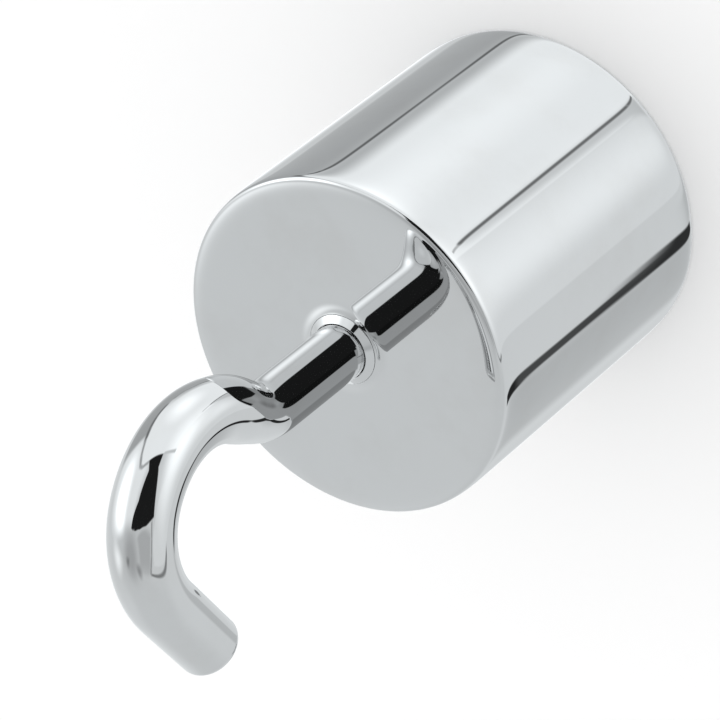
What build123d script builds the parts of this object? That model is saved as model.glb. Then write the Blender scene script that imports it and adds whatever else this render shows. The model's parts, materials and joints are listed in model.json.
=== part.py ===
"""A magnet fishing magnet: a chromed deep-drawn casing, a pot magnet closing its open end, and a swivel hook.

The frame's origin is the centre of the pole face, +Z runs up the casing's axis to the hook, and the hook lies in the
XZ plane with its tip on the +X side. Every piece of the object is its own solid, written to parts/NODE.step.
Lengths are in millimetres and angles in degrees.
"""

import os
from math import cos, radians, sin, sqrt

from build123d import *

# Casing: a deep cup, closed at the hook end.
casing_diameter = 60.0
casing_length = 60.0
casing_wall = 2.5
face_thickness = 5.0
front_edge_radius = 1.6
rear_edge_radius = 1.0
boss_radius = 8.5
boss_height = 0.3
glue_gap = 0.05

# Hook: a round bar, a little thicker in its bowl than at its neck.
neck_radius = 4.8
bowl_radius = 5.4
tip_radius = 5.25
neck_length = 21.7
knee_bend_radius = 6.3
knee_bend_angle = 32.9
knee_run = 5.3
crown_bend_radius = 18.8
crown_bend_angle = 84.6
bowl_bend_radius = 14.0
bowl_bend_angle = 71.9
tip_run = 14.2
tip_edge_radius = 1.4

# Swivel: the hook's journal turns in a flanged bush, held by a nut inside the casing.
journal_radius = 4.0
running_clearance = 0.05
axial_play = 0.1
flange_radius = 6.15
flange_thickness = 1.0
flange_edge_radius = 0.6
bush_barrel_radius = 5.6
neck_recess_radius = 5.1
neck_recess_depth = 0.6
neck_recess_chamfer = 0.3
thread_pitch = 1.25
thread_depth = 0.6
thread_length = 10.0
washer_radius = 10.0
washer_thickness = 1.5
nut_across_flats = 13.0
nut_height = 6.8
pin_radius = 1.25
pin_bore_radius = 0.8
pin_slot = 0.7
seal_groove_depth = 0.85
seal_groove_width = 1.2
shank_seal_radius = 0.4

# Chamber that keeps the resin off the nut.
chamber_radius = 11.0
chamber_wall = 1.0
chamber_depth = 15.0

# Magnet system, stacked upwards from the pole face.
pole_shoe_height = 7.0
magnet_height = 7.0
magnet_count = 3
magnet_radius = 21.0
magnet_bore_radius = 5.0
yoke_height = 8.0
flux_ring_wall = 3.9
gap_clearance = 0.05
spacer_height = 6.0
yoke_seal_radius = 0.95
yoke_groove_depth = 2.0
yoke_groove_width = 2.2
sleeve_wall = 1.7
bolt_radius = 3.0
bolt_hole_radius = 3.3
bolt_head_radius = 5.0
bolt_head_height = 6.0
bolt_socket_across_flats = 5.0
bolt_socket_depth = 3.0
bolt_engagement = 4.5
bolt_pitch = 1.0
bolt_thread_depth = 0.5
bolt_washer_radius = 5.0
bolt_washer_thickness = 1.2
bolt_washer_slot = 0.8
counterbore_radius = 5.5

# Levels along Z that follow from the driving dimensions.
casing_radius = casing_diameter / 2
cavity_radius = casing_radius - casing_wall
face_inside = casing_length - face_thickness
magnets_bottom = pole_shoe_height
yoke_bottom = magnets_bottom + magnet_count * magnet_height
yoke_top = yoke_bottom + yoke_height
boss_top = casing_length + boss_height
flange_top = boss_top + flange_thickness
shoulder = flange_top - neck_recess_depth + axial_play
washer_bottom = face_inside - washer_thickness
nut_top = washer_bottom - axial_play
nut_bottom = nut_top - nut_height
thread_top = nut_top + thread_pitch
thread_bottom = thread_top - thread_length
counterbore_floor = yoke_top - bolt_head_height - bolt_washer_thickness


def turned(points):
    """The solid that a closed outline of (radius, height) points makes when it turns about Z."""
    outline = Polyline([(radius, 0, height) for radius, height in points], close=True)
    return revolve(make_face(outline), Axis.Z)


def ring(inner, outer, bottom, top):
    """A plain ring about Z."""
    return turned([(inner, bottom), (outer, bottom), (outer, top), (inner, top)])


def disc(radius, bottom, top):
    """A plain disc about Z."""
    return turned([(0, bottom), (radius, bottom), (radius, top), (0, top)])


def sealing_ring(centre_radius, section_radius, height):
    """A ring of round rubber cord about Z."""
    return Pos(0, 0, height) * Torus(centre_radius, section_radius)


def hexagon(across_flats, bottom, top):
    """A hexagonal prism about Z."""
    outline = RegularPolygon(radius=across_flats / sqrt(3), side_count=6)
    return Pos(0, 0, bottom) * extrude(outline, amount=top - bottom)


def thread_outline(crest_radius, depth, bottom, top, pitch):
    """Outline points of a threaded length, from bottom to top, as a row of V grooves."""
    points = [(crest_radius, bottom)]
    groove_count = int((top - bottom) / pitch)
    for groove in range(groove_count):
        start = bottom + groove * pitch
        points += [(crest_radius, start + 0.15 * pitch), (crest_radius - depth, start + 0.55 * pitch)]
        points += [(crest_radius, start + 0.95 * pitch)]
    return points


def edges_at(solid, height):
    """The solid's round edges in the plane at that height, the smallest first."""
    found = solid.edges().filter_by(GeomType.CIRCLE).filter_by_position(Axis.Z, height - 1e-3, height + 1e-3)
    return found.sort_by(SortBy.RADIUS)


def casing():
    """The chromed cup, with a low boss in the middle of its closed end and the bush's hole through it."""
    cup = disc(casing_radius, 0, casing_length) - disc(cavity_radius, 0, face_inside)
    cup = fillet(edges_at(cup, casing_length)[-1], front_edge_radius)
    cup = fillet(edges_at(cup, 0)[-1], rear_edge_radius)
    cup += turned([(0, casing_length - 1), (boss_radius, casing_length - 1), (boss_radius, casing_length),
                   (flange_radius, boss_top), (0, boss_top)])
    return cup - disc(bush_barrel_radius, face_inside, boss_top)


def swivel_bush():
    """The flanged bush, with a recess for the hook's shoulder and a groove for the seal."""
    bore = journal_radius + running_clearance
    groove_bottom = (face_inside + casing_length - seal_groove_width) / 2
    bush = disc(bush_barrel_radius, face_inside, boss_top) + disc(flange_radius, boss_top, flange_top)
    bush = fillet(edges_at(bush, flange_top)[-1], flange_edge_radius)
    bush -= disc(bore, face_inside, flange_top)
    bush -= disc(neck_recess_radius, flange_top - neck_recess_depth, flange_top)
    bush = chamfer(edges_at(bush, flange_top)[0], neck_recess_chamfer)
    return bush - disc(bore + seal_groove_depth, groove_bottom, groove_bottom + seal_groove_width)


def shank_seal():
    """The rubber ring in the bush's groove, just clear of the journal."""
    centre_radius = journal_radius + running_clearance + shank_seal_radius
    return sealing_ring(centre_radius, shank_seal_radius, (face_inside + casing_length) / 2)


def bar_plane(x, z, heading):
    """The plane across the hook's bar at a point of its centre line, heading degrees from +Z towards -X."""
    along = (-sin(radians(heading)), 0, cos(radians(heading)))
    return Plane(origin=(x, 0, z), x_dir=(0, 1, 0), z_dir=along)


def straight_bar(x, z, heading, length, start_radius, end_radius):
    """A straight or slightly tapered length of bar, and where it ends."""
    blank = Cone(start_radius, end_radius, length, align=(Align.CENTER, Align.CENTER, Align.MIN))
    end_x = x - length * sin(radians(heading))
    end_z = z + length * cos(radians(heading))
    return bar_plane(x, z, heading) * blank, end_x, end_z


def bent_bar(x, z, heading, bend_radius, angle, radius):
    """A bend of round bar, towards -X for a positive angle, and where and how it ends."""
    side = 1 if angle > 0 else -1
    centre_x = x - side * bend_radius * cos(radians(heading))
    centre_z = z - side * bend_radius * sin(radians(heading))
    section = bar_plane(x, z, heading) * Circle(radius)
    bend = revolve(section, Axis((centre_x, 0, centre_z), (0, -side, 0)), abs(angle))
    end_heading = heading + angle
    end_x = centre_x + side * bend_radius * cos(radians(end_heading))
    end_z = centre_z + side * bend_radius * sin(radians(end_heading))
    return bend, end_x, end_z, end_heading


def hook_stem():
    """The straight foot of the hook: threaded end, journal, shoulder and neck, drilled for the pin."""
    neck_top = casing_length + neck_length
    thread = thread_outline(journal_radius, thread_depth, thread_bottom, thread_top, thread_pitch)
    outline = [(0, thread_bottom - 1), (journal_radius - 1, thread_bottom - 1)] + thread
    outline += [(journal_radius, shoulder), (neck_radius, shoulder), (neck_radius, neck_top), (0, neck_top)]
    pin_hole = Pos(0, 0, (nut_bottom + nut_top) / 2) * Rot(90, 0, 0) * Cylinder(pin_radius, nut_across_flats * 2)
    return turned(outline) - pin_hole


def hook():
    """The whole hook: neck, knee, crown, bowl and tip."""
    knee, x, z, heading = bent_bar(0, casing_length + neck_length, 0, knee_bend_radius, knee_bend_angle, neck_radius)
    run, x, z = straight_bar(x, z, heading, knee_run, neck_radius, bowl_radius)
    crown, x, z, heading = bent_bar(x, z, heading, crown_bend_radius, -crown_bend_angle, bowl_radius)
    bowl, x, z, heading = bent_bar(x, z, heading, bowl_bend_radius, -bowl_bend_angle, bowl_radius)
    tip, x, z = straight_bar(x, z, heading, tip_run, bowl_radius, tip_radius)
    end_edge = tip.edges().filter_by(GeomType.CIRCLE).sort_by(SortBy.RADIUS)[0]
    tip = fillet(end_edge, tip_edge_radius)
    return hook_stem() + knee + run + crown + bowl + tip


def retaining_nut():
    """The hexagon nut on the hook's threaded end, drilled for the pin."""
    nut = hexagon(nut_across_flats, nut_bottom, nut_top)
    corner_radius = nut_across_flats / sqrt(3)
    cut_back = corner_radius - nut_across_flats / 2
    crowned = [(0, nut_bottom), (nut_across_flats / 2, nut_bottom), (corner_radius, nut_bottom + cut_back / 2)]
    crowned += [(corner_radius, nut_top - cut_back / 2), (nut_across_flats / 2, nut_top), (0, nut_top)]
    nut = (nut & turned(crowned)) - disc(journal_radius + glue_gap / 2, nut_bottom, nut_top)
    return nut - Pos(0, 0, (nut_bottom + nut_top) / 2) * Rot(90, 0, 0) * Cylinder(pin_radius, nut_across_flats * 2)


def lock_pin():
    """The slotted spring pin across the nut and the hook's threaded end."""
    height = (nut_bottom + nut_top) / 2
    tube = Cylinder(pin_radius, nut_across_flats) - Cylinder(pin_bore_radius, nut_across_flats)
    slot = Pos(pin_radius, 0, 0) * Box(2 * (pin_radius - pin_bore_radius) + 0.2, pin_slot, nut_across_flats)
    return Pos(0, 0, height) * Rot(90, 0, 0) * (tube - slot)


def chamber_cup():
    """The thin cup under the closed end that leaves the nut free to turn."""
    outer = disc(chamber_radius, face_inside - chamber_depth, face_inside)
    return outer - disc(chamber_radius - chamber_wall, face_inside - chamber_depth + chamber_wall, face_inside)


def potting_fill():
    """The resin cast between the casing, the chamber and the yoke."""
    fill = disc(cavity_radius, yoke_top, face_inside)
    return fill - disc(chamber_radius, face_inside - chamber_depth, face_inside)


def yoke_plate():
    """The steel plate behind the magnets, with the core bolt's counterbore and a groove for its seal."""
    yoke_radius = cavity_radius - glue_gap
    groove_bottom = yoke_bottom + (yoke_height - yoke_groove_width) / 2
    plate = disc(yoke_radius, yoke_bottom, yoke_top) - disc(bolt_hole_radius, yoke_bottom, yoke_top)
    plate -= disc(counterbore_radius, counterbore_floor, yoke_top)
    return plate - ring(yoke_radius - yoke_groove_depth, casing_radius, groove_bottom, groove_bottom + yoke_groove_width)


def yoke_seal():
    """The rubber ring in the yoke's groove."""
    centre_radius = cavity_radius - glue_gap - yoke_seal_radius
    return sealing_ring(centre_radius, yoke_seal_radius, yoke_bottom + yoke_height / 2)


def core_bolt():
    """The socket bolt that clamps the magnets between the yoke and the pole shoe."""
    seat = counterbore_floor + bolt_washer_thickness
    head_top = seat + bolt_head_height
    foot = magnets_bottom - bolt_engagement
    thread = thread_outline(bolt_radius, bolt_thread_depth, foot, magnets_bottom, bolt_pitch)
    outline = [(0, foot)] + thread + [(bolt_radius, seat), (bolt_head_radius, seat)]
    outline += [(bolt_head_radius, head_top), (0, head_top)]
    return turned(outline) - hexagon(bolt_socket_across_flats, head_top - bolt_socket_depth, head_top)


def bolt_washer():
    """The split spring washer under the core bolt's head."""
    washer = ring(bolt_hole_radius, bolt_washer_radius, counterbore_floor, counterbore_floor + bolt_washer_thickness)
    slot = Box(bolt_washer_radius, bolt_washer_slot, 2 * bolt_washer_thickness)
    place = Pos((bolt_hole_radius + bolt_washer_radius) / 2, 0, counterbore_floor + bolt_washer_thickness / 2)
    return washer - place * Rot(25, 0, 0) * slot


def core_sleeve():
    """The sleeve that centres the ring magnets on the bolt."""
    inner = bolt_hole_radius - 0.1
    return ring(inner, inner + sleeve_wall, magnets_bottom, yoke_bottom)


def ring_magnet(position):
    """One of the stacked ring magnets, counted from the pole shoe, with softened edges."""
    bottom = magnets_bottom + position * magnet_height
    magnet = ring(magnet_bore_radius, magnet_radius, bottom, bottom + magnet_height)
    return chamfer(edges_at(magnet, bottom) + edges_at(magnet, bottom + magnet_height), 0.4)


def flux_ring():
    """The steel wall of the pot, which carries the field from the yoke to the pole face."""
    outer = cavity_radius - glue_gap
    wall = ring(outer - flux_ring_wall, outer, 0, yoke_bottom)
    return chamfer(edges_at(wall, 0), 0.3)


def gap_radii():
    """The inner and outer radius of the gap between the pole shoe and the flux ring."""
    return magnet_radius + gap_clearance, cavity_radius - glue_gap - flux_ring_wall - gap_clearance


def spacer_ring():
    """The brass ring that keeps the pole shoe and the flux ring apart."""
    inner, outer = gap_radii()
    return ring(inner, outer, 0, spacer_height)


def gap_resin():
    """The resin behind the spacer ring."""
    inner, outer = gap_radii()
    return ring(inner, outer, spacer_height, yoke_bottom)


def pole_shoe():
    """The steel disc in the middle of the pole face, with a blind hole for the core bolt."""
    shoe = disc(magnet_radius, 0, pole_shoe_height)
    shoe = chamfer(edges_at(shoe, 0), 0.3)
    return shoe - disc(bolt_radius, magnets_bottom - bolt_engagement, pole_shoe_height)


def nodes():
    """Every piece of the object by its node name."""
    made = {
        "casing": casing(),
        "swivel_bush": swivel_bush(),
        "shank_seal": shank_seal(),
        "hook": hook(),
        "retaining_nut": retaining_nut(),
        "lock_pin": lock_pin(),
        "thrust_washer": ring(journal_radius + 0.2, washer_radius, washer_bottom, face_inside),
        "chamber_cup": chamber_cup(),
        "potting_fill": potting_fill(),
        "yoke_plate": yoke_plate(),
        "yoke_seal": yoke_seal(),
        "core_bolt": core_bolt(),
        "bolt_washer": bolt_washer(),
        "core_sleeve": core_sleeve(),
        "flux_ring": flux_ring(),
        "gap_resin": gap_resin(),
        "spacer_ring": spacer_ring(),
        "pole_shoe": pole_shoe(),
    }
    for position, name in enumerate(["lower_magnet", "middle_magnet", "upper_magnet"]):
        made[name] = ring_magnet(position)
    return made


os.makedirs("parts", exist_ok=True)
for node, shape in nodes().items():
    export_step(shape, f"parts/{node}.step")
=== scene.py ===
"""The looks of a magnet fishing magnet: a mirror-chromed casing with a swivel hook, standing on its pole face.

Lengths in this file are millimetres and are turned into metres where a mesh, lamp or camera is made. The frame is the
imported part's own: the pole face is at height 0, the casing's axis is Z, and the hook's tip is on the +X side.
"""

import json
from math import atan2, cos, pi, radians, sin, sqrt, tan

import bpy
import numpy as np
from mathutils import Matrix, Vector


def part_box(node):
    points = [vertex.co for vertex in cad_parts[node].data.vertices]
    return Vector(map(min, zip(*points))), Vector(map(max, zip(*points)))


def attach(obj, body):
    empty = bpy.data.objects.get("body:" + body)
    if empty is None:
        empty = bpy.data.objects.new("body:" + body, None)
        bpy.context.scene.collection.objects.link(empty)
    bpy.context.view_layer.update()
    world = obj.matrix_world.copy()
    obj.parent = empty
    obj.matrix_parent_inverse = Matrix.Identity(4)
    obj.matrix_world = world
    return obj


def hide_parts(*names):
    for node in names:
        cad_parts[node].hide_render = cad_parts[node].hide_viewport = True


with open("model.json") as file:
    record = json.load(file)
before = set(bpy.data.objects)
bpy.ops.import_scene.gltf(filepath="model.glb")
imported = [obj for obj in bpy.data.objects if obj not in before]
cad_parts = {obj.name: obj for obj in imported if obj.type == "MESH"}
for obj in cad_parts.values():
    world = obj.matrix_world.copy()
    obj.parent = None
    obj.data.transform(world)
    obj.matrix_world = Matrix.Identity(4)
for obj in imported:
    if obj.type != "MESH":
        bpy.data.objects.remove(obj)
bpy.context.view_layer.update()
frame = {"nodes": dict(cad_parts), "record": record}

MM = 0.001


# ---------------------------------------------------------------------------------------------------------------
# Sizes
# ---------------------------------------------------------------------------------------------------------------
casing_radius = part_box("casing")[1].x / MM
boss_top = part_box("casing")[1].z / MM
boss_height = 0.3
casing_top = boss_top - boss_height
flange_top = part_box("swivel_bush")[1].z / MM
flange_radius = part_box("swivel_bush")[1].x / MM
cavity_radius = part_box("potting_fill")[1].x / MM

# The hook's bar: (length along the bar, degrees turned towards -X, radius at the end of the stretch).
hook_stretches = [
    (21.7, 0.0, 4.8),                        # neck
    (6.3 * radians(32.9), 32.9, 4.8),        # knee
    (5.3, 0.0, 5.4),                         # run
    (18.8 * radians(84.6), -84.6, 5.4),      # crown
    (14.0 * radians(71.9), -71.9, 5.4),      # bowl
    (14.2, 0.0, 5.25),                       # tip
]
knee_easing, bend_easing = 8.0, 2.6          # the length over which a bend eases in and out
neck_radius = hook_stretches[0][2]
tip_edge_radius = 1.4
neck_shoulder = flange_top - 0.5
journal_radius = 4.0
running_gap = 0.05
bush_barrel_radius = 5.6
face_inside = casing_top - 5.0
thread_top = face_inside - 0.35
thread_length = 10.0
thread_pitch = 1.25
thread_depth = 0.6
swell_radius = 8.6


# ---------------------------------------------------------------------------------------------------------------
# Mesh tools
# ---------------------------------------------------------------------------------------------------------------
def skin(name, rings, start=None, end=None, looped=False):
    """A smooth-shaded mesh over rings of (points, normals) in millimetres, with exact normals.

    A start or end point closes that end, and looped joins the last ring to the first.
    """
    around, count = len(rings[0][0]), len(rings)
    points = [tuple(point) for ring, _ in rings for point in ring]
    normals = [tuple(normal) for _, ring in rings for normal in ring]
    faces = []
    for ring in range(count if looped else count - 1):
        low, high = ring * around, (ring + 1) % count * around
        for step in range(around):
            following = (step + 1) % around
            faces.append((low + step, low + following, high + following, high + step))
    for tip, low, order in ((start, 0, -1), (end, (count - 1) * around, 1)):
        if tip:
            points.append(tip[0])
            normals.append(tip[1])
            for step in range(around):
                faces.append((len(points) - 1,) + (low + step, low + (step + 1) % around)[::order])
    mesh = bpy.data.meshes.new(name)
    mesh.from_pydata([tuple(MM * value for value in point) for point in points], [], faces)
    mesh.polygons.foreach_set("use_smooth", [True] * len(mesh.polygons))
    mesh.update()
    mesh.normals_split_custom_set_from_vertices(normals)
    piece = bpy.data.objects.new(name, mesh)
    bpy.context.scene.collection.objects.link(piece)
    return piece


def turned_ring(radius, height, radial, upward, around):
    """A level ring of points about Z, with normals that lean the same way all round."""
    turn = np.arange(around) * 2 * pi / around
    points = np.stack([radius * np.cos(turn), radius * np.sin(turn), np.full(around, height)], axis=1)
    normals = np.stack([radial * np.cos(turn), radial * np.sin(turn), np.full(around, upward)], axis=1)
    return points, normals


def rounded(corners, steps=6):
    """Profile points with normals along a path of (radius, height, rounding) corners, with the metal on the left.

    The first and last corner only give the direction, and a closed outline names its first two corners again.
    """
    profile = []
    for (r_a, h_a, _), (r_b, h_b, rounding), (r_c, h_c, _) in zip(corners, corners[1:], corners[2:]):
        arriving = (Vector((r_b - r_a, h_b - h_a))).normalized()
        leaving = (Vector((r_c - r_b, h_c - h_b))).normalized()
        turn = atan2(arriving.cross(leaving), arriving.dot(leaving))
        side = 1 if turn > 0 else -1
        first_normal = Vector((arriving.y, -arriving.x))
        touch = Vector((r_b, h_b)) - arriving * rounding * tan(abs(turn) / 2)
        centre = touch - first_normal * rounding * side
        for index in range(steps + 1):
            angle = turn * index / steps
            normal = Vector((first_normal.x * cos(angle) - first_normal.y * sin(angle),
                             first_normal.x * sin(angle) + first_normal.y * cos(angle)))
            point = centre + normal * rounding * side
            profile.append((point.x, point.y, normal.x, normal.y))
    return profile


def buffed_corner(radius, height, up, flat_share, flat_spread, tightness=0.5, reach=13.0):
    """Profile points with normals round a square outer corner that a buffing wheel has softened.

    Nearly all of the turn is in a tight edge. The rest is spread over a wide band on both sides of it: on the level
    side, flat_share of it over flat_spread. up is 1 for a corner at the top of the piece and -1 for one at the
    bottom. The points run upwards in both cases.
    """
    side_share, side_spread, steps = 0.07, 3.2, 110
    near, far = tightness * 0.12, reach
    growth = (far / near) ** (1 / (steps / 2 - 1))
    one_side = [near * growth ** index for index in range(steps // 2)]
    places = [-value for value in reversed(one_side)] + [0.0] + one_side

    def turned(place):
        tight = place / sqrt(place * place + tightness * tightness)
        share, spread = (flat_share, flat_spread) if place < 0 else (side_share, side_spread)
        wide = np.tanh(place / spread) * (1 - (place / reach) ** 2) + place * abs(place) / reach ** 2
        return pi / 4 * (1 + (1 - share) * tight + share * wide)

    tilt = [turned(place) for place in places]
    inward, down = [0.0], [0.0]
    for index in range(1, len(places)):
        step_length = places[index] - places[index - 1]
        middle = (tilt[index] + tilt[index - 1]) / 2
        inward.append(inward[-1] - step_length * cos(middle))
        down.append(down[-1] + step_length * sin(middle))
    points = []
    for back, drop, angle in zip(inward, down, tilt):
        points.append((radius - (back - inward[-1]), height - up * drop, sin(angle), up * cos(angle)))
    return points[::-1] if up > 0 else points


# ---------------------------------------------------------------------------------------------------------------
# Pieces
# ---------------------------------------------------------------------------------------------------------------
def make_casing(around=288):
    """The buffed cup: rims, side, flat face, the polished swelling round the bush, the bush's hole and the cavity."""
    rear = [point for point in buffed_corner(casing_radius, 0.0, -1, 0.07, 0.4) if point[0] > cavity_radius + 0.45]
    front = [point for point in buffed_corner(casing_radius, casing_top, 1, 0.13, 2.2) if point[0] > swell_radius]
    lip_radius, steepest, steps = flange_radius + 0.03, radians(25), 30
    stride = (swell_radius - lip_radius) / steps
    swelling, height = [], casing_top
    for index in range(steps):
        tilt = steepest * (index / steps) ** 1.5
        swelling.append((swell_radius - stride * index, height, sin(tilt), cos(tilt)))
        height += stride * tan(tilt)
    inside = rounded([(swelling[-1][0], swelling[-1][1], 0), (lip_radius, height, 0.06), (lip_radius, boss_top, 0.04),
                      (bush_barrel_radius, boss_top, 0.1), (bush_barrel_radius, face_inside, 0.2),
                      (cavity_radius, face_inside, 1.0), (cavity_radius, 0, 0.2), (casing_radius, 0, 0)])
    profile = rear + front + swelling + inside
    return skin("casing_shell", [turned_ring(*point, around) for point in profile], looped=True)


def make_bush(around=192):
    """The flanged bush: cone-topped collar, barrel, bore, the seal's groove and the recess for the hook's shoulder."""
    bore, recess, groove = journal_radius + running_gap, neck_radius + 0.08, journal_radius + 0.9
    recess_floor, groove_middle, groove_half_width = flange_top - 0.6, (face_inside + casing_top) / 2, 0.6
    groove_low, groove_high = groove_middle - groove_half_width, groove_middle + groove_half_width
    corners = [(bush_barrel_radius, face_inside, 0.15), (bush_barrel_radius, boss_top, 0.04),
               (flange_radius, boss_top, 0.02), (flange_radius, boss_top + 0.16, 0.12), (recess, flange_top, 0.1),
               (recess, recess_floor, 0.04), (bore, recess_floor, 0.05), (bore, groove_high, 0.1),
               (groove, groove_high, 0.1), (groove, groove_low, 0.1), (bore, groove_low, 0.1),
               (bore, face_inside, 0.1)]
    profile = rounded(corners + corners[:2])
    return skin("bush_collar", [turned_ring(*point, around) for point in profile], looped=True)


def thread_rings(around):
    """The hook's threaded foot, a helical groove that runs out into the journal at the top."""
    turn = np.arange(around) * 2 * pi / around
    heights = np.arange(0, thread_length, thread_pitch / 14) + thread_top - thread_length

    def radius_at(height, angle):
        phase = (height - thread_top) / thread_pitch - angle / (2 * pi)
        groove = (0.5 - 0.5 * np.cos(2 * pi * phase)) ** 0.8
        fade = np.clip((thread_top - height) / thread_pitch, 0, 1)
        fade *= np.clip((height - thread_top + thread_length) / thread_pitch * 2, 0, 1)
        return journal_radius - thread_depth * groove * fade

    rings, nudge = [], 0.01
    for height in heights:
        radius = radius_at(height, turn)
        climb = (radius_at(height + nudge, turn) - radius_at(height - nudge, turn)) / (2 * nudge)
        swing = (radius_at(height, turn + nudge) - radius_at(height, turn - nudge)) / (2 * nudge) / radius
        outward = np.stack([np.cos(turn), np.sin(turn), np.zeros(around)], axis=1)
        sideways = np.stack([-np.sin(turn), np.cos(turn), np.zeros(around)], axis=1)
        normals = outward - swing[:, None] * sideways - climb[:, None] * np.array([0, 0, 1])
        normals /= np.linalg.norm(normals, axis=1, keepdims=True)
        rings.append((radius[:, None] * outward + np.array([0, 0, height]), normals))
    return rings


def hook_line(step=0.25, fineness=20):
    """The hook's centre line at even steps: x, z, heading from +Z towards -X, radius, and the radius's slope.

    Each bend eases in and out over a short length, as in a bar that was bent round a former.
    """
    ends = np.cumsum([length for length, _, _ in hook_stretches])
    starts = np.concatenate([[0], ends[:-1]])
    places = int(ends[-1] / step) * fineness + 1
    fine = np.linspace(0, ends[-1], places)
    spacing = fine[1]

    def eased(place, blend):
        share = np.clip(place / blend + 0.5, 0, 1)
        return share * share * (3 - 2 * share)

    bending = np.zeros(places)
    for start, end, (length, turn, _) in zip(starts, ends, hook_stretches):
        blend = knee_easing if turn > 0 else bend_easing
        bending += radians(turn) / length * (eased(fine - start, blend) - eased(fine - end, blend))

    def summed(rate):
        return np.concatenate([[0], np.cumsum((rate[1:] + rate[:-1]) / 2 * spacing)])

    heading = summed(bending)
    x, z = summed(-np.sin(heading)), summed(np.cos(heading)) + casing_top
    radius = np.interp(fine, np.concatenate([[0], ends]), [neck_radius] + [size for _, _, size in hook_stretches])
    half = 8 * fineness
    radius = np.convolve(np.pad(radius, half, mode="edge"), np.ones(2 * half + 1) / (2 * half + 1), mode="valid")
    slope = np.gradient(radius, spacing)
    return [values[::fineness] for values in (x, z, heading, radius, slope)]


def bar_ring(x, z, heading, radius, lean, around):
    """A ring of points round the bent bar, with normals that lean ahead by the given amount."""
    turn = np.arange(around) * 2 * pi / around
    along = np.array([-sin(heading), 0, cos(heading)])
    side = np.array([cos(heading), 0, sin(heading)])
    outward = np.cos(turn)[:, None] * side + np.sin(turn)[:, None] * np.array([0, 1, 0])
    return np.array([x, 0, z]) + radius * outward, (outward + lean * along) / sqrt(1 + lean * lean)


def make_hook(around=128):
    """The hook from end to end: threaded foot, journal, shoulder, bent bar, and flat-cut tip with a rounded edge."""
    foot = thread_top - thread_length - 1.0
    end_face = rounded([(0, foot, 0), (journal_radius - 0.9, foot, 0.2), (journal_radius, foot + 0.9, 0)])
    shoulder = rounded([(journal_radius, thread_top, 0), (journal_radius, neck_shoulder, 0.08),
                        (neck_radius, neck_shoulder, 0.15), (neck_radius, casing_top + 5, 0)])
    rings = [turned_ring(*point, around) for point in end_face] + thread_rings(around)
    rings += [turned_ring(journal_radius, thread_top + 0.2, 1, 0, around)]
    rings += [turned_ring(*point, around) for point in shoulder]
    line = [row for row in zip(*hook_line()) if row[1] > neck_shoulder + 0.3]
    rings += [bar_ring(x, z, heading, radius, -slope, around) for x, z, heading, radius, slope in line[:-6]]
    tip_x, tip_z, tip_heading, tip_radius, _ = line[-1]
    ahead = np.array([-sin(tip_heading), 0, cos(tip_heading)])
    for index in range(17):
        angle = index * pi / 32
        back = tip_edge_radius * (1 - sin(angle))
        size = tip_radius - tip_edge_radius * (1 - cos(angle))
        lean = tan(min(angle, radians(89.9)))
        rings.append(bar_ring(tip_x - back * ahead[0], tip_z - back * ahead[2], tip_heading, size, lean, around))
    start, end = ((0, 0, foot), (0, 0, -1)), ((tip_x, 0, tip_z), tuple(ahead))
    return skin("hook_bar", rings, start, end)


# ---------------------------------------------------------------------------------------------------------------
# Node tools
# ---------------------------------------------------------------------------------------------------------------
def add(tree, kind, inputs=None, **settings):
    """Adds a node; inputs are values, or sockets to link from, by socket name or number."""
    made = tree.nodes.new(kind)
    for name, value in settings.items():
        setattr(made, name, value)
    for socket, value in (inputs or {}).items():
        if isinstance(value, bpy.types.NodeSocket):
            tree.links.new(value, made.inputs[socket])
        else:
            made.inputs[socket].default_value = value
    return made


def maths(tree, operation, *values):
    """A Math node's result."""
    return add(tree, "ShaderNodeMath", dict(enumerate(values)), operation=operation).outputs[0]


def stepped(tree, value, low, high, start=0.0, end=1.0):
    """A smooth step from start to end as value goes from low to high."""
    inputs = {"Value": value, "From Min": low, "From Max": high, "To Min": start, "To Max": end}
    return add(tree, "ShaderNodeMapRange", inputs, interpolation_type="SMOOTHSTEP").outputs["Result"]


def between(tree, mask, low, high):
    """A number that runs from low to high with the mask."""
    return maths(tree, "ADD", maths(tree, "MULTIPLY", mask, high - low), low)


def start_group(name, inputs, outputs):
    """A new shader node group, with number inputs and their usual values, and named outputs."""
    tree = bpy.data.node_groups.new(name, "ShaderNodeTree")
    for label, value in inputs.items():
        tree.interface.new_socket(label, in_out="INPUT", socket_type="NodeSocketFloat").default_value = value
    for label, kind in outputs.items():
        tree.interface.new_socket(label, in_out="OUTPUT", socket_type=kind)
    return tree, tree.nodes.new("NodeGroupInput"), tree.nodes.new("NodeGroupOutput")


def millimetres(tree):
    """The place on the piece, in millimetres."""
    place = add(tree, "ShaderNodeTexCoord").outputs["Object"]
    return add(tree, "ShaderNodeVectorMath", {0: place, "Scale": 1000.0}, operation="SCALE").outputs[0]


def noise(tree, place, per_millimetre, detail=2.0, roughness=0.5):
    """Smooth noise from 0 to 1 at a place in millimetres."""
    inputs = {"Vector": place, "Scale": per_millimetre, "Detail": detail, "Roughness": roughness}
    return add(tree, "ShaderNodeTexNoise", inputs).outputs[0]


def use(tree, group, **inputs):
    """Places a group in a material, with its own values by input name (underscores for spaces)."""
    placed = tree.nodes.new("ShaderNodeGroup")
    placed.node_tree = group
    for name, value in inputs.items():
        placed.inputs[name.replace("_", " ")].default_value = value
    return placed.outputs


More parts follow.
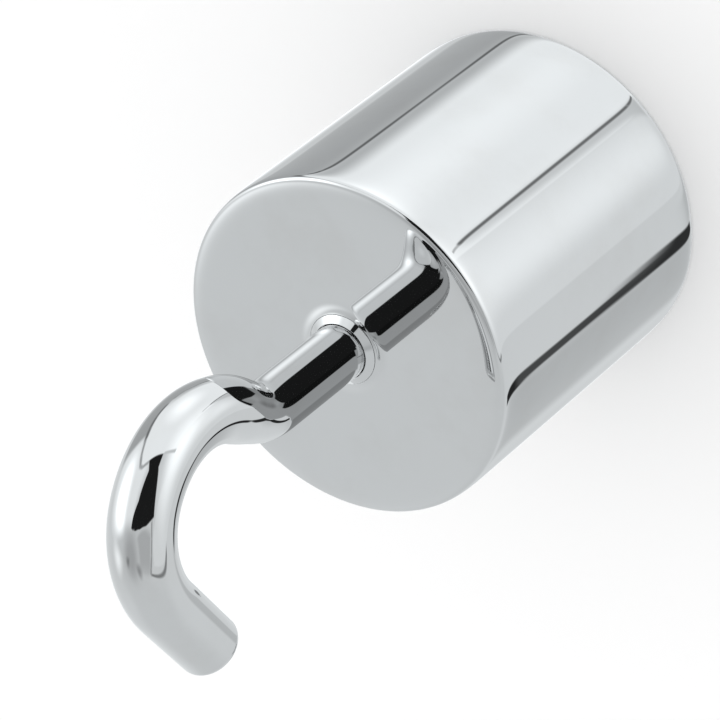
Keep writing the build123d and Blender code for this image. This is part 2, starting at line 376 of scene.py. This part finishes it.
# ---------------------------------------------------------------------------------------------------------------
# Stage: camera, floor, light, and the studio that the chrome mirrors
# ---------------------------------------------------------------------------------------------------------------
def place_camera():
    """A long lens looking down on the closed end at about 45 degrees, rolled so that the hook points lower left."""
    azimuth, elevation, roll = radians(124.58), radians(45.27), radians(128.78)
    distance = 738.9
    aim = Vector((2.18, 2.23, 59.4))
    outward = Vector((cos(elevation) * cos(azimuth), cos(elevation) * sin(azimuth), sin(elevation)))
    level_up = (Vector((0, 0, 1)) - outward * outward.z).normalized()
    level_right = level_up.cross(outward)
    up = level_up * cos(roll) + level_right * sin(roll)
    right = up.cross(outward)
    data = bpy.data.cameras.new("camera")
    data.lens = 232.0
    data.clip_start = 0.01
    camera = bpy.data.objects.new("camera", data)
    bpy.context.scene.collection.objects.link(camera)
    turned = Matrix((right, up, outward)).transposed().to_4x4()
    camera.matrix_world = Matrix.Translation((aim + outward * distance) * MM) @ turned
    bpy.context.scene.camera = camera


# The studio as (brightness, softness, corners). Brightness is the grey, 0 to 255, that a chrome surface shows.
# Corners are (azimuth, elevation) in degrees, anticlockwise; softness is the width in degrees of the faded edge.
# Azimuth 0 is +X, 90 is +Y, and it runs from -90 to 270. Later panels lie over earlier ones.
paper_grey = 198
studio_panels = [
    # grey ceiling, in two steps, and the greyer wall at its foot
    (186, 40, [(-150, 48), (330, 48), (330, 120), (-150, 120)]),
    (158, 24, [(-150, 72), (330, 72), (330, 120), (-150, 120)]),
    (166, 10, [(64, 36), (84, 26), (104, 20), (114, 45), (130, 63), (56, 63)]),
    # the room beyond the hook's tip, and the shade on the floor under it
    (190, 30, [(-30, -8), (64, -8), (64, 60), (-30, 60)]),
    (176, 8, [(34, -80), (58, -80), (58, -53), (34, -53)]),
    (172, 14, [(-14, -56), (32, -56), (32, -40), (-14, -40)]),
    # softbox on the upper left
    (224, 18, [(168, 10), (215, -18), (252, -14), (264, 0), (268, 28), (252, 52), (225, 62), (168, 64)]),
    # grey card under the softbox
    (156, 7, [(208, -6), (226, -60), (262, -60), (272, -44), (262, -14), (240, -6)]),
    # white card on the right
    (207, 1.5, [(58, -90), (150, -90), (150, 8), (104, 15), (90, 18), (80, 23), (71, 30), (66, 33), (66, -29)]),
    # soft shade where the two cards meet
    (190, 12, [(108, -8), (138, -3), (142, 6), (108, 8)]),
    # white table sheet on the camera's side, and the wall's shade on it
    (229, 1.5, [(124, -90), (230, -90), (228, -26), (220, -12), (213, -2), (203, 12), (193, 20), (185, 21), (171, 16),
                (142, 1), (108, -20), (112, -36), (124, -50)]),
    (186, 6, [(118, -64), (139, -64), (131, -46), (127, -46)]),
    # black screen round the lens
    (32, 2, [(101, 14), (138, 9), (160, 12), (161, 40), (150, 66), (138, 63), (122, 53), (109, 36)]),
    (32, 2, [(150, 30), (161, 30), (170, 57), (177, 67), (155, 67), (145, 60)]),
    (32, 2, [(138, 9), (143, 2), (172, 16), (158, 22), (140, 20)]),
    # black bar standing on the table, with a gap in it
    (40, 2.0, [(30, -46), (37, -46.5), (38, -34), (32, -34)]),
    (70, 2.0, [(31, -49), (36, -49), (37, -45), (31, -45)]),
    (48, 2.0, [(22, -58), (32, -57), (40, -49), (30, -48)]),
]

# What two mirrors in a row see, such as the neck and the face under it: a paler room and ceiling, a dimmer wall and a
# wider screen. Each is (brightness, softness, corners), as above.
second_panels = [
    (236, 6, [(-40, -10), (40, -10), (40, 33), (-40, 33)]),
    (148, 8, [(-70, 35), (26, 35), (26, 60), (-70, 60)]),
    (176, 8, [(22, 24), (74, 33), (74, 62), (22, 62)]),
    (236, 12, [(154, 33), (203, 33), (203, 90), (154, 90)]),
    (236, 12, [(185, 54), (275, 54), (275, 90), (185, 90)]),
    (30, 3, [(74, 36), (151, 36), (151, 53), (74, 53)]),
    (36, 4, [(94, 22), (164, 22), (164, 78), (94, 78)]),
]

# Soft lights and shades as (brightness, centre, reach), fading out from the centre. An azimuth near -90 comes twice,
# because the seam of the azimuth is there.
studio_glows = [
    (340, (232, 31), (34, 36)),
    (264, (113, -22), (46, 38)),
    (264, (181, -32), (36, 24)),
    (172, (224, -47), (15, 26)),
    (240, (-80, 42), (21, 24)),
    (240, (280, 42), (21, 24)),
    (232, (101, -46), (25, 16)),
    (165, (-60, -47), (60, 24)),
    (165, (300, -47), (60, 24)),
    (240, (-60, -47), (24, 16)),
    (138, (55, 66), (22, 12)),
    (125, (-66, 78), (30, 9)),
]

# Seams and edges between panels as (brightness, width, points).
studio_lines = [
    (120, 2.0, [(66, -27), (66, 32)]),
    (146, 4.0, [(65, 34), (71, 31), (80, 25), (90, 21), (102, 20)]),
    (190, 2.0, [(118, -14), (142, 1)]),
    (160, 3.0, [(171, 17), (185, 22), (193, 21)]),
    (150, 4.0, [(193, 21), (203, 12), (213, -2)]),
    (108, 5.0, [(213, -2), (220, -12), (226, -22), (229, -32)]),
    (95, 2.0, [(229, -36), (230, -44), (228, -48), (230, -52), (234, -57)]),
    (180, 1.5, [(128, -38), (130, -46)]),
    (105, 1.8, [(130, -45), (133, -52), (139, -64)]),
]


def show_studio():
    """A world that lights the scene evenly in white, and that mirrors show as the studio's panels."""
    world = bpy.data.worlds.new("studio")
    bpy.context.scene.world = world
    world.use_nodes = True
    tree = world.node_tree
    tree.nodes.clear()
    direction = add(tree, "ShaderNodeTexCoord").outputs["Generated"]
    parts = add(tree, "ShaderNodeSeparateXYZ", {0: direction})
    azimuth = maths(tree, "DEGREES", maths(tree, "ARCTAN2", parts.outputs["Y"], parts.outputs["X"]))
    azimuth = maths(tree, "WRAP", azimuth, 270.0, -90.0)
    elevation = maths(tree, "DEGREES", maths(tree, "ARCSINE", parts.outputs["Z"]))
    place = add(tree, "ShaderNodeCombineXYZ", {0: azimuth, 1: elevation, 2: 1.0}).outputs[0]

    def panel_mask(softness, corners):
        mask = None
        for (az_a, el_a), (az_b, el_b) in zip(corners, corners[1:] + corners[:1]):
            length = sqrt((az_b - az_a) ** 2 + (el_b - el_a) ** 2)
            across = ((el_a - el_b) / length, (az_b - az_a) / length)
            offset = -(across[0] * az_a + across[1] * el_a)
            inputs = {0: place, 1: (across[0], across[1], offset)}
            inside = add(tree, "ShaderNodeVectorMath", inputs, operation="DOT_PRODUCT").outputs["Value"]
            edge = stepped(tree, inside, -softness / 2, softness / 2)
            mask = edge if mask is None else maths(tree, "MULTIPLY", mask, edge)
        return mask

    def laid_over(shade, brightness, mask):
        return add(tree, "ShaderNodeMix", {"Factor": mask, 2: shade, 3: float(brightness)}).outputs[0]

    shade = float(paper_grey)
    for brightness, softness, corners in studio_panels:
        shade = laid_over(shade, brightness, panel_mask(softness, corners))
    for brightness, (az, el), (wide, high) in studio_glows:
        inputs = {0: place, 1: (1 / wide, 1 / high, 0), 2: (-az / wide, -el / high, 0)}
        offset = add(tree, "ShaderNodeVectorMath", inputs, operation="MULTIPLY_ADD").outputs[0]
        apart = add(tree, "ShaderNodeVectorMath", {0: offset}, operation="LENGTH").outputs["Value"]
        shade = laid_over(shade, brightness, stepped(tree, apart, 0.0, 1.0, 1.0, 0.0))
    for brightness, width, points in studio_lines:
        for (az_a, el_a), (az_b, el_b) in zip(points, points[1:]):
            length = sqrt((az_b - az_a) ** 2 + (el_b - el_a) ** 2)
            side_az, side_el = width / 2 * (el_b - el_a) / length, width / 2 * (az_a - az_b) / length
            corners = [(az_a + side_az, el_a + side_el), (az_b + side_az, el_b + side_el),
                       (az_b - side_az, el_b - side_el), (az_a - side_az, el_a - side_el)]
            shade = laid_over(shade, brightness, panel_mask(width * 0.8, corners))
    light_path = add(tree, "ShaderNodeLightPath")
    twice = maths(tree, "GREATER_THAN", light_path.outputs["Glossy Depth"], 1.5)
    for brightness, softness, corners in second_panels:
        shade = laid_over(shade, brightness, maths(tree, "MULTIPLY", twice, panel_mask(softness, corners)))
    grey = maths(tree, "POWER", maths(tree, "DIVIDE", shade, 255.0), 2.2)
    tinted = add(tree, "ShaderNodeVectorMath", {0: grey, 1: (0.965, 1.0, 1.015)}, operation="MULTIPLY").outputs[0]
    mirrored = add(tree, "ShaderNodeBackground", {"Color": tinted, "Strength": 1 / chrome_reflectance})
    even = add(tree, "ShaderNodeBackground", {"Color": (1, 1, 1, 1), "Strength": daylight})
    glossy = light_path.outputs["Is Glossy Ray"]
    mixed = add(tree, "ShaderNodeMixShader", {0: glossy, 1: even.outputs[0], 2: mirrored.outputs[0]})
    add(tree, "ShaderNodeOutputWorld", {"Surface": mixed.outputs[0]})


def lay_floor():
    """A pale floor, see-through from below and left out of mirrors, which show the studio's table sheet instead."""
    half = 4.0
    mesh = bpy.data.meshes.new("floor")
    mesh.from_pydata([(-half, -half, 0), (half, -half, 0), (half, half, 0), (-half, half, 0)], [], [(0, 1, 2, 3)])
    floor = bpy.data.objects.new("floor", mesh)
    bpy.context.scene.collection.objects.link(floor)
    material = bpy.data.materials.new("pale_floor")
    material.use_nodes = True
    tree = material.node_tree
    tree.nodes.clear()
    paper = add(tree, "ShaderNodeBsdfPrincipled", {"Base Color": (0.97, 0.97, 0.97, 1), "Roughness": 0.9})
    clear = add(tree, "ShaderNodeBsdfTransparent")
    below = add(tree, "ShaderNodeNewGeometry").outputs["Backfacing"]
    mixed = add(tree, "ShaderNodeMixShader", {0: below, 1: paper.outputs[0], 2: clear.outputs[0]})
    add(tree, "ShaderNodeOutputMaterial", {"Surface": mixed.outputs[0]})
    mesh.materials.append(material)
    floor.visible_glossy = False


# ---------------------------------------------------------------------------------------------------------------
# Effects shared by several finishes
# ---------------------------------------------------------------------------------------------------------------
def build_polish():
    """What buffing leaves: a faint waviness and a haze that comes and goes."""
    inputs = {"Wave size": 6.0, "Haze size": 12.0}
    tree, given, result = start_group("polish", inputs, {"Waves": "NodeSocketFloat", "Haze": "NodeSocketFloat"})
    place = millimetres(tree)
    waves = noise(tree, place, maths(tree, "DIVIDE", 1.0, given.outputs["Wave size"]), 1.0)
    cloud = noise(tree, place, maths(tree, "DIVIDE", 1.0, given.outputs["Haze size"]), 4.0, 0.6)
    tree.links.new(waves, result.inputs["Waves"])
    tree.links.new(stepped(tree, cloud, 0.42, 0.72), result.inputs["Haze"])
    return tree


def build_hairlines():
    """Sparse fine scratches from handling, in two slanting directions."""
    inputs = {"Spacing": 1.5, "Share": 0.1}
    tree, given, result = start_group("hairlines", inputs, {"Lines": "NodeSocketFloat"})
    place = millimetres(tree)
    density = maths(tree, "DIVIDE", 1.0, given.outputs["Spacing"])
    edge = maths(tree, "SUBTRACT", 0.72, maths(tree, "MULTIPLY", given.outputs["Share"], 0.5))
    both = None
    for tilt in (0.5, -0.9):
        turned = add(tree, "ShaderNodeMapping", {"Vector": place, "Rotation": (tilt, tilt * 0.6, 0.3),
                                                 "Scale": (1.0, 1.0, 0.03)}).outputs[0]
        lines = stepped(tree, noise(tree, turned, density, 3.0), edge, 0.78)
        both = lines if both is None else maths(tree, "MAXIMUM", both, lines)
    tree.links.new(both, result.inputs["Lines"])
    return tree


def build_turned_marks():
    """The fine rings that a lathe tool leaves about Z on flat faces and round sides."""
    tree, given, result = start_group("turned_marks", {"Pitch": 0.2}, {"Rings": "NodeSocketFloat"})
    parts = add(tree, "ShaderNodeSeparateXYZ", {0: millimetres(tree)})
    across = maths(tree, "POWER", parts.outputs["X"], 2.0)
    across = maths(tree, "ADD", across, maths(tree, "POWER", parts.outputs["Y"], 2.0))
    inputs = {0: maths(tree, "SQRT", across), 1: parts.outputs["Z"], 2: 0.0}
    profile = add(tree, "ShaderNodeCombineXYZ", inputs).outputs[0]
    rings = noise(tree, profile, maths(tree, "DIVIDE", 1.0, given.outputs["Pitch"]), 3.0, 0.6)
    tree.links.new(rings, result.inputs["Rings"])
    return tree


def build_blotches():
    """Soft-edged patches, for oil, tarnish, bloom and mottled plating."""
    inputs = {"Size": 6.0, "Cover": 0.4}
    tree, given, result = start_group("blotches", inputs, {"Patches": "NodeSocketFloat"})
    place = millimetres(tree)
    value = noise(tree, place, maths(tree, "DIVIDE", 1.0, given.outputs["Size"]), 6.0, 0.62)
    low = maths(tree, "SUBTRACT", 0.7, maths(tree, "MULTIPLY", given.outputs["Cover"], 0.4))
    high = maths(tree, "ADD", low, 0.14)
    tree.links.new(stepped(tree, value, low, high), result.inputs["Patches"])
    return tree


# ---------------------------------------------------------------------------------------------------------------
# Finishes
# ---------------------------------------------------------------------------------------------------------------
def start_finish(name):
    """A material with one Principled shader on its output."""
    material = bpy.data.materials.new(name)
    material.use_nodes = True
    tree = material.node_tree
    tree.nodes.clear()
    shader = tree.nodes.new("ShaderNodeBsdfPrincipled")
    add(tree, "ShaderNodeOutputMaterial", {"Surface": shader.outputs[0]})
    return material, tree, shader


def colours(tree, mask, plain, marked):
    """The plain colour where the mask is 0, and the marked one where it is 1."""
    mixed = add(tree, "ShaderNodeMix", {"Factor": mask}, data_type="RGBA")
    mixed.inputs[6].default_value = (*plain, 1)
    mixed.inputs[7].default_value = (*marked, 1)
    return mixed.outputs[2]


def bumped(tree, height, depth_mm):
    """A normal that follows a height, given the depth in millimetres that the height's full range stands for."""
    inputs = {"Height": height, "Strength": 1.0, "Distance": depth_mm * MM}
    return add(tree, "ShaderNodeBump", inputs).outputs[0]


def chrome_finish(name, wave_depth, haze):
    """Mirror chromium plate over buffed steel, with a breath of haze and a few hairlines."""
    material, tree, shader = start_finish(name)
    polish = use(tree, groups["polish"], Wave_size=7.0, Haze_size=14.0)
    lines = use(tree, groups["hairlines"], Spacing=0.8, Share=0.06)["Lines"]
    shader.inputs["Metallic"].default_value = 1.0
    bright, dull = chrome_reflectance, chrome_reflectance * 0.965
    tree.links.new(colours(tree, polish["Haze"], (bright * 0.995, bright, bright * 1.005), (dull, dull, dull)),
                   shader.inputs["Base Color"])
    rough = between(tree, polish["Haze"], 0.018, 0.018 + haze)
    rough = maths(tree, "ADD", rough, maths(tree, "MULTIPLY", lines, 0.03))
    tree.links.new(rough, shader.inputs["Roughness"])
    tree.links.new(bumped(tree, polish["Waves"], wave_depth), shader.inputs["Normal"])
    return material


def machined_finish(name, colour, stained, roughness, mark_depth, pitch, patch_size, cover):
    """Turned or ground metal: tool rings, roughness that follows them, and stained or oily patches."""
    material, tree, shader = start_finish(name)
    rings = use(tree, groups["turned_marks"], Pitch=pitch)["Rings"]
    patches = use(tree, groups["blotches"], Size=patch_size, Cover=cover)["Patches"]
    lines = use(tree, groups["hairlines"], Spacing=0.6, Share=0.2)["Lines"]
    shader.inputs["Metallic"].default_value = 1.0
    tree.links.new(colours(tree, patches, colour, stained), shader.inputs["Base Color"])
    rough = between(tree, rings, roughness * 0.75, roughness * 1.25)
    rough = maths(tree, "ADD", rough, maths(tree, "MULTIPLY", patches, 0.08))
    rough = maths(tree, "ADD", rough, maths(tree, "MULTIPLY", lines, 0.1))
    tree.links.new(rough, shader.inputs["Roughness"])
    tree.links.new(bumped(tree, rings, mark_depth), shader.inputs["Normal"])
    return material


def cast_finish(name, colour, mottled, roughness, grain_depth, grain_size, patch_size, cover):
    """Moulded rubber or cast resin: mottled colour and a fine grain."""
    material, tree, shader = start_finish(name)
    patches = use(tree, groups["blotches"], Size=patch_size, Cover=cover)["Patches"]
    grain = use(tree, groups["polish"], Wave_size=grain_size, Haze_size=grain_size * 6)
    tree.links.new(colours(tree, patches, colour, mottled), shader.inputs["Base Color"])
    tree.links.new(between(tree, grain["Haze"], roughness * 0.85, roughness * 1.15), shader.inputs["Roughness"])
    tree.links.new(bumped(tree, grain["Waves"], grain_depth), shader.inputs["Normal"])
    return material


# ---------------------------------------------------------------------------------------------------------------
# The scene
# ---------------------------------------------------------------------------------------------------------------
chrome_reflectance = 0.6
daylight = 1.07

bpy.context.scene.view_settings.view_transform = "Standard"
place_camera()
show_studio()
lay_floor()

groups = {
    "polish": build_polish(),
    "hairlines": build_hairlines(),
    "turned_marks": build_turned_marks(),
    "blotches": build_blotches(),
}
finishes = {
    "casing_chrome": chrome_finish("casing_chrome", 0.0016, 0.012),
    "hook_chrome": chrome_finish("hook_chrome", 0.003, 0.012),
    "bush_chrome": chrome_finish("bush_chrome", 0.002, 0.03),
    "zinc_steel": machined_finish("zinc_steel", (0.62, 0.64, 0.66), (0.5, 0.53, 0.58), 0.3, 0.003, 0.25, 4.0, 0.35),
    "pole_steel": machined_finish("pole_steel", (0.37, 0.37, 0.38), (0.25, 0.24, 0.23), 0.3, 0.004, 0.3, 9.0, 0.3),
    "bearing_bronze": machined_finish("bearing_bronze", (0.62, 0.45, 0.25), (0.45, 0.3, 0.16), 0.28, 0.003, 0.2,
                                      3.0, 0.3),
    "brass": machined_finish("brass", (0.6, 0.45, 0.2), (0.42, 0.3, 0.13), 0.26, 0.004, 0.25, 5.0, 0.35),
    "magnet_nickel": machined_finish("magnet_nickel", (0.5, 0.49, 0.455), (0.42, 0.405, 0.37), 0.2, 0.001, 0.6, 2.0,
                                     0.4),
    "seal_rubber": cast_finish("seal_rubber", (0.028, 0.028, 0.03), (0.05, 0.05, 0.052), 0.6, 0.01, 0.15, 1.5, 0.3),
    "potting_resin": cast_finish("potting_resin", (0.06, 0.062, 0.066), (0.1, 0.1, 0.1), 0.38, 0.02, 1.2, 4.0, 0.3),
}
for part in frame["record"]["subparts"]:
    for holder in frame["nodes"][part["node"]].material_slots:
        holder.material = finishes[part["material_slot"]]

for make, body, node, slot in (
    (make_casing, "magnet_body", "casing", "casing_chrome"),
    (make_bush, "magnet_body", "swivel_bush", "bush_chrome"),
    (make_hook, "swivel_hook", "hook", "hook_chrome"),
):
    piece = make()
    piece.data.materials.append(finishes[slot])
    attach(piece, body)
    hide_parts(node)
